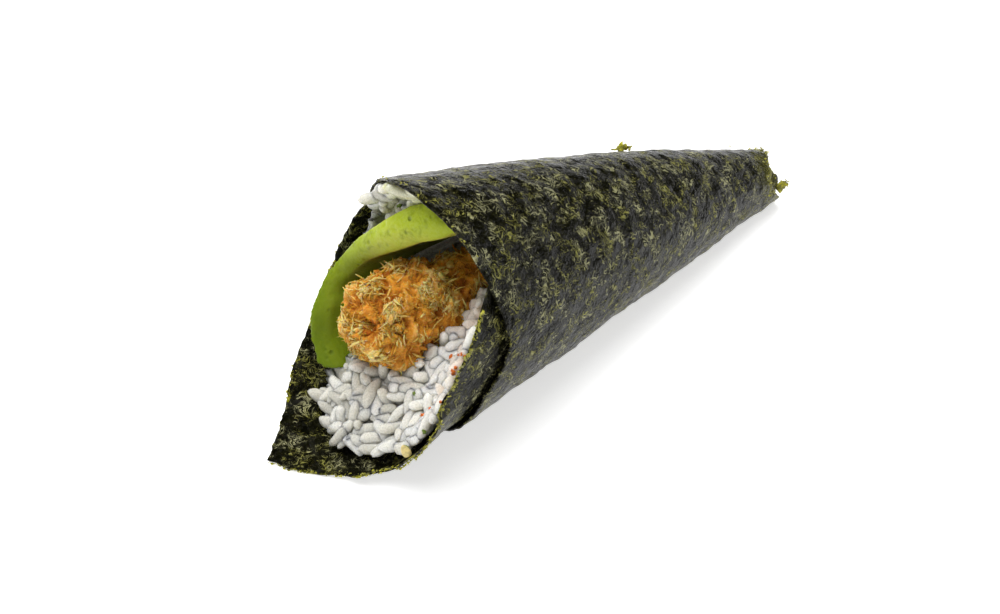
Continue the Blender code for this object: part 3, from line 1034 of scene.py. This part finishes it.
def flaky_kinds(count):
    """Ragged crumbs of bread, about one unit across."""

    def tear(points, rng, k):
        torn = 1 + 0.5 * rough(points, 0.42, k * 2.3) + rng.uniform(-0.25, 0.4, len(points))
        points *= column(torn) * (1.0, rng.uniform(0.5, 0.85), rng.uniform(0.22, 0.45))
        points[:, 2] += rng.uniform(-0.5, 0.5) * points[:, 0] ** 2
        return points

    ball = partial(bpy.ops.mesh.primitive_ico_sphere_add, subdivisions=2, radius=0.5)
    return kinds_of("crumb", count, 11, ball, tear)


def shred_kinds(count):
    """Thin bent splinters of crust, one unit long."""
    cuts = (-0.2, 0.15)

    def add_rod():
        bpy.ops.mesh.primitive_cylinder_add(vertices=5, radius=0.5, depth=1.0, end_fill_type="TRIFAN")
        bpy.ops.object.mode_set(mode="EDIT")
        for height in cuts:
            bpy.ops.mesh.select_all(action="SELECT")
            bpy.ops.mesh.bisect(plane_co=(0, 0, height), plane_no=(0, 0, 1))
        bpy.ops.object.mode_set(mode="OBJECT")

    def splinter(points, rng, k):
        points = points[:, [2, 0, 1]]
        taper = np.interp(points[:, 0], (-0.5, *cuts, 0.5), (0.5, 1.0, rng.uniform(0.5, 0.9), 0.15))
        points[:, 1:] *= column(taper) * (rng.uniform(0.14, 0.26), rng.uniform(0.08, 0.14))
        points *= rng.uniform(0.85, 1.15, points.shape)
        points[:, 2] += rng.uniform(-0.8, 0.8) * points[:, 0] ** 2
        points[:, 1] += rng.uniform(-0.7, 0.7) * points[:, 0] ** 2
        return points

    return kinds_of("shred", count, 13, add_rod, splinter)


def make_prawn_core(settings):
    """The coat under the crumbs: lumpy, with a torn, grainy skin."""
    obj = copied_node("fried_prawn", "prawn_coat", 0.38 * MM)
    points, out = corners(obj.data), normals(obj.data)
    big = rough(points, 8.0 * MM, 6.0)
    lumps = rough(points, 4.4 * MM, 9.0)
    ridges = 0.5 - np.abs(rough(points, 3.0 * MM, 2.5)) * 1.8
    grain = 0.4 - np.abs(rough(points, 1.5 * MM, 4.0)) * 1.5
    fine = rough(points, 0.8 * MM, 8.0)
    points += out * column((-1.8 + big * 1.6 + lumps * 1.6 + ridges * 1.0 + grain * 0.6 + fine * 0.2) * MM)
    points += (0.7 * MM, -0.6 * MM, 0.0)
    move_corners(obj.data, points)
    # Paler where the coat bulges out and deeper in its hollows: partly the fried coat's own colour, partly
    # painted light on the lumps and painted shade in the hollows.
    tone = 0.28 + big * 0.2 + lumps * 0.6 + ridges * 0.4 + grain * 0.35 + fine * 0.1
    paint(obj.data, "tone", np.clip(tone, 0, 1.2))
    return finish(obj, crumb_material(settings), "crumb", "fried_prawn")


def strewn(coat, rng, count, density):
    """Places on the front of the coat, with their outward directions and the coat's tone there, which holds
    painted shade and light.
    """
    points, out = corners(coat), normals(coat)
    forward = (points - APEX) @ AXIS
    near = np.flatnonzero(forward > np.max(forward) - 42 * MM)
    tufts = ease(-0.05, 0.35, rough(points[near], 4.5 * MM, 17.0))
    favoured = (ease(-45 * MM, -14 * MM, forward[near] - np.max(forward)) + 0.12) * density(tufts)
    picks = rng.choice(len(near), min(count, len(near)), replace=False, p=favoured / favoured.sum())
    under = np.empty(len(coat.vertices))
    coat.attributes["tone"].data.foreach_get("value", under)
    found = near[picks]
    return points[found], out[found], under[found], tufts[picks]


def swept(middles, ups, rng, together, lift):
    """Directions along the coat that run together in locks, each lifted off it a little."""
    locks = np.stack([rough(middles, 6 * MM, seed) for seed in (3.0, 14.0, 25.0)], axis=-1) * together
    loose = rng.normal(0, 1, middles.shape) + locks
    return unit(level(loose, ups)) + ups * column(rng.normal(0, 1, len(middles)) * lift)


def make_crumbs(settings):
    """Ragged crumbs over the coat, and finer pale shreds that stand in tufts among them."""
    rng = np.random.default_rng(31)
    coat = bpy.data.objects["prawn_coat"].data
    middles, ups, under, tufts = strewn(coat, rng, settings.crumb_count, lambda tufts: 0.12 + tufts)
    count = len(middles)
    ways = swept(middles, ups, rng, 2.5, 0.28)
    size = np.clip(rng.gamma(3.2, 0.30, count), 0.45, 2.0) * MM
    lift = rng.uniform(-0.35, 0.15, count) + 0.35 * tufts * rng.uniform(0, 1, count)
    # Crumbs lifted off the coat are painted paler: painted light, on top of the coat's tone and a random
    # part.
    tone = np.clip(under + lift * 0.3 + tufts * 0.12 + rng.normal(0, 0.16, count), 0, 1.4)
    turns = turns_to(ways, ups + rng.normal(0, 0.3, ups.shape))
    sizes = column(size)
    picks = rng.integers(0, 10, count)
    middles = middles + ups * column(lift * MM)
    obj = joined_copies("prawn_crumbs", flaky_kinds(10), picks, middles, turns, sizes, tone=tone)
    finish(obj, material_of("prawn_coat"), "crumb")

    middles, ups, under, tufts = strewn(coat, rng, settings.shred_count, lambda tufts: 0.06 + tufts**2)
    count = len(middles)
    ways = swept(middles, ups, rng, 6.0, 0.35)
    size = np.clip(rng.gamma(2.6, 0.62, count), 0.7, 4.0) * MM
    lift = rng.uniform(0.0, 0.7, count)
    middles = middles + ups * column(lift * MM)
    tone = np.clip(under * 0.6 + 0.55 + rng.normal(0, 0.25, count), 0, 1.5)
    sizes = np.stack([size, size * 0.4 + 0.9 * MM, size * 0.4 + 0.9 * MM], axis=-1)
    picks = rng.integers(0, 8, count)
    obj = joined_copies("prawn_shreds", shred_kinds(8), picks, middles, turns_to(ways, ups), sizes, tone=tone)
    return finish(obj, material_of("prawn_coat"), "crumb")


# ---- the sprinkles ----


def seed_kinds():
    """A sesame seed, one unit long: a flattened drop."""

    def draw_out(points, rng, k):
        points = points[:, [2, 0, 1]]
        points[:, 1:] *= (0.72 - 0.42 * points[:, 0])[:, None]
        points[:, 2] *= 0.5
        return points

    ball = partial(bpy.ops.mesh.primitive_uv_sphere_add, segments=16, ring_count=10, radius=0.5)
    return kinds_of("seed", 1, 0, ball, draw_out)


def sprinkled(name, kinds, places, size, flat, material, slot):
    """Bits that fell on the filling from in front and above.

    Each place is a point on a bit's way down, in mm along, across and up from the cone's apex. A bit that
    would miss the filling lands on it a little nearer to the middle of the mouth.
    """
    rng = np.random.default_rng(len(name))
    trees = [tree_of(bpy.data.objects[label]) for label in ("rice_grains", "rice_core", "prawn_coat")]
    middles, ups = [], []
    for place in np.array(places, float):
        for share in np.linspace(0, 0.8, 81):
            start = APEX + (place + (MOUTH_MIDDLE - place) * share) * MM - FALL * 60 * MM
            hits = [tree.ray_cast(start, FALL) for tree in trees]
            hits = [found for found in hits if found[0]]
            if hits:
                break
        above = min(hits, key=lambda found: found[3])[0] - Vector(FALL) * NEAR_FILLING
        hit, normal, _, _ = min((tree.find_nearest(above) for tree in trees), key=lambda found: found[3])
        middles.append(np.array(hit) + np.array(normal) * size * flat)
        ups.append(np.array(normal) - FALL * 0.8)
    middles, ups = np.array(middles), np.array(ups)
    count = len(middles)
    loose = rng.normal(0, 1, (count, 3))
    ups = unit(ups)
    ways = level(loose, ups)
    sizes = size * rng.uniform(0.7, 1.25, (count, 1))
    picks = rng.integers(0, len(kinds), count)
    obj = joined_copies(name, kinds, picks, middles, turns_to(ways, ups), sizes)
    return finish(obj, material, slot)


def make_sprinkles(settings):
    sesame = ((-156.9, -13.4, 3),)
    chilli = ((-148.0, -6.4, 3), (-145.3, -5.8, 3), (-142.6, -5.6, 3), (-134.5, 1.2, 3), (-133.2, 0.2, 3),
              (-132.0, 1.0, 3), (-133.8, -0.8, 3), (-131.6, -0.4, 3), (-135.0, -1.6, 3), (-132.5, 2.0, 3),
              (-134.0, 2.2, 3), (-136.0, -2.4, 3))
    herbs = ((-146.3, -0.8, 3), (-156.5, -12.1, 3), (-150.7, -11.0, 3), (-148.9, 0.0, 50.6))
    sprinkled("sesame_seed", seed_kinds(), sesame, 3.6 * MM, 0.22,
              speck_material("sesame", settings.sesame, 0.4), "crumb")
    sprinkled("chilli_flakes", flake_kinds(4, 15), chilli, 0.55 * MM, 0.30,
              speck_material("chilli", settings.chilli, 0.35), "crumb")
    sprinkled("green_specks", flake_kinds(4, 19), herbs, 0.8 * MM, 0.35,
              speck_material("green_specks", (0.20, 0.30, 0.04, 1), 0.5), "avocado")


# ---- the stage ----


def make_floor(settings):
    deselect()
    bpy.ops.mesh.primitive_plane_add(size=6.0)
    floor = named("floor")
    floor.data.materials.append(floor_material(settings))


def add_light(name, place, target, size, power, shines=True):
    deselect()
    bpy.ops.object.light_add(type="AREA", location=place)
    light = bpy.context.object
    light.name = name
    light.data.shape = "DISK"
    light.data.size = size
    light.data.energy = power
    light.rotation_euler = (Vector(target) - Vector(place)).to_track_quat("-Z", "Y").to_euler()
    light.visible_glossy = shines
    return light


def make_lights(settings):
    middle = (0, 0, 0.02)
    add_light("key_light", (-0.09, 0.17, 0.68), middle, 0.85, settings.key_light, shines=False)
    add_light("front_light", (-0.62, -0.35, 0.50), middle, 0.40, settings.key_light * 0.08)
    add_light("glint_light", (-0.05, 0.05, 0.60), middle, 0.14, settings.key_light * 0.08)
    sheen = add_light("sheen_light", (0.33, -0.45, 0.40), middle, 0.22, settings.key_light * 0.20)
    sheen.visible_diffuse = False
    world = bpy.data.worlds.new("studio")
    world.use_nodes = True
    background = world.node_tree.nodes["Background"].inputs
    background["Color"].default_value = (1, 1, 1, 1)
    background["Strength"].default_value = 0.26
    world.cycles_visibility.glossy = False
    bpy.context.scene.world = world


def make_camera(_settings):
    """The camera looks down along the roll from in front of the mouth."""
    deselect()
    azimuth, elevation = math.radians(CAMERA_AZIMUTH), math.radians(CAMERA_ELEVATION)
    ahead = Vector((-math.sin(azimuth), math.cos(azimuth), 0))
    view = ahead * math.cos(elevation) - Vector((0, 0, 1)) * math.sin(elevation)
    bpy.ops.object.camera_add(location=Vector(APEX + CAMERA_AIM) - view * CAMERA_DISTANCE)
    camera = bpy.context.object
    camera.name = "camera"
    camera.rotation_euler = view.to_track_quat("-Z", "Y").to_euler()
    camera.data.lens = 40
    camera.data.sensor_width = 36
    camera.data.clip_start = 0.01
    bpy.context.scene.camera = camera
    bpy.context.scene.view_settings.view_transform = "Standard"


# ---- operators, panel and registration ----


class Maker:
    """What the operators share: each runs its makers in turn, with the settings of the scene."""

    def execute(self, context):
        for make in self.makers:
            make(context.scene.temaki)
        return {"FINISHED"}


class MakeNori(Maker, bpy.types.Operator):
    """Rolls the sheet of nori and tears its edges"""

    bl_idname = "temaki.nori"
    bl_label = "Nori"
    makers = (make_nori_sheet, make_nori_shreds)


class MakeAvocado(Maker, bpy.types.Operator):
    """Lays the slice of avocado over the prawn"""

    bl_idname = "temaki.avocado"
    bl_label = "Avocado"
    makers = (make_avocado,)


class MakePrawn(Maker, bpy.types.Operator):
    """Makes the prawn's fried coat and its crumbs"""

    bl_idname = "temaki.prawn"
    bl_label = "Prawn"
    makers = (make_prawn_core, make_crumbs)


class MakeRice(Maker, bpy.types.Operator):
    """Fills the roll with rice and heaps its grains at the mouth"""

    bl_idname = "temaki.rice"
    bl_label = "Rice"
    makers = (make_rice_core, make_rice_grains)


class MakeSprinkles(Maker, bpy.types.Operator):
    """Scatters the sesame, chilli and green specks on the rice"""

    bl_idname = "temaki.sprinkles"
    bl_label = "Sprinkles"
    makers = (make_sprinkles,)


class MakeStage(Maker, bpy.types.Operator):
    """Sets the pale floor, the lights and the camera"""

    bl_idname = "temaki.stage"
    bl_label = "Stage"
    makers = (make_floor, make_lights, make_camera)


OPERATORS = (MakeNori, MakeAvocado, MakePrawn, MakeRice, MakeSprinkles, MakeStage)


class TemakiPanel(bpy.types.Panel):
    """The pieces of the roll and their settings"""

    bl_idname = "VIEW3D_PT_temaki"
    bl_label = "Temaki hand roll"
    bl_space_type = "VIEW_3D"
    bl_region_type = "UI"
    bl_category = "Temaki"

    def draw(self, context):
        for operator in OPERATORS:
            self.layout.operator(operator.bl_idname)
        for name in TemakiSettings.__annotations__:
            self.layout.prop(context.scene.temaki, name)


def register():
    for kind in (TemakiSettings, *OPERATORS, TemakiPanel):
        bpy.utils.register_class(kind)
    bpy.types.Scene.temaki = PointerProperty(type=TemakiSettings)


def unregister():
    del bpy.types.Scene.temaki
    for kind in reversed((TemakiSettings, *OPERATORS, TemakiPanel)):
        bpy.utils.unregister_class(kind)


def main():
    register()
    bpy.ops.temaki.nori()
    bpy.ops.temaki.avocado()
    bpy.ops.temaki.prawn()
    bpy.ops.temaki.rice()
    bpy.ops.temaki.sprinkles()
    bpy.ops.temaki.stage()


if __name__ == "__main__":
    main()
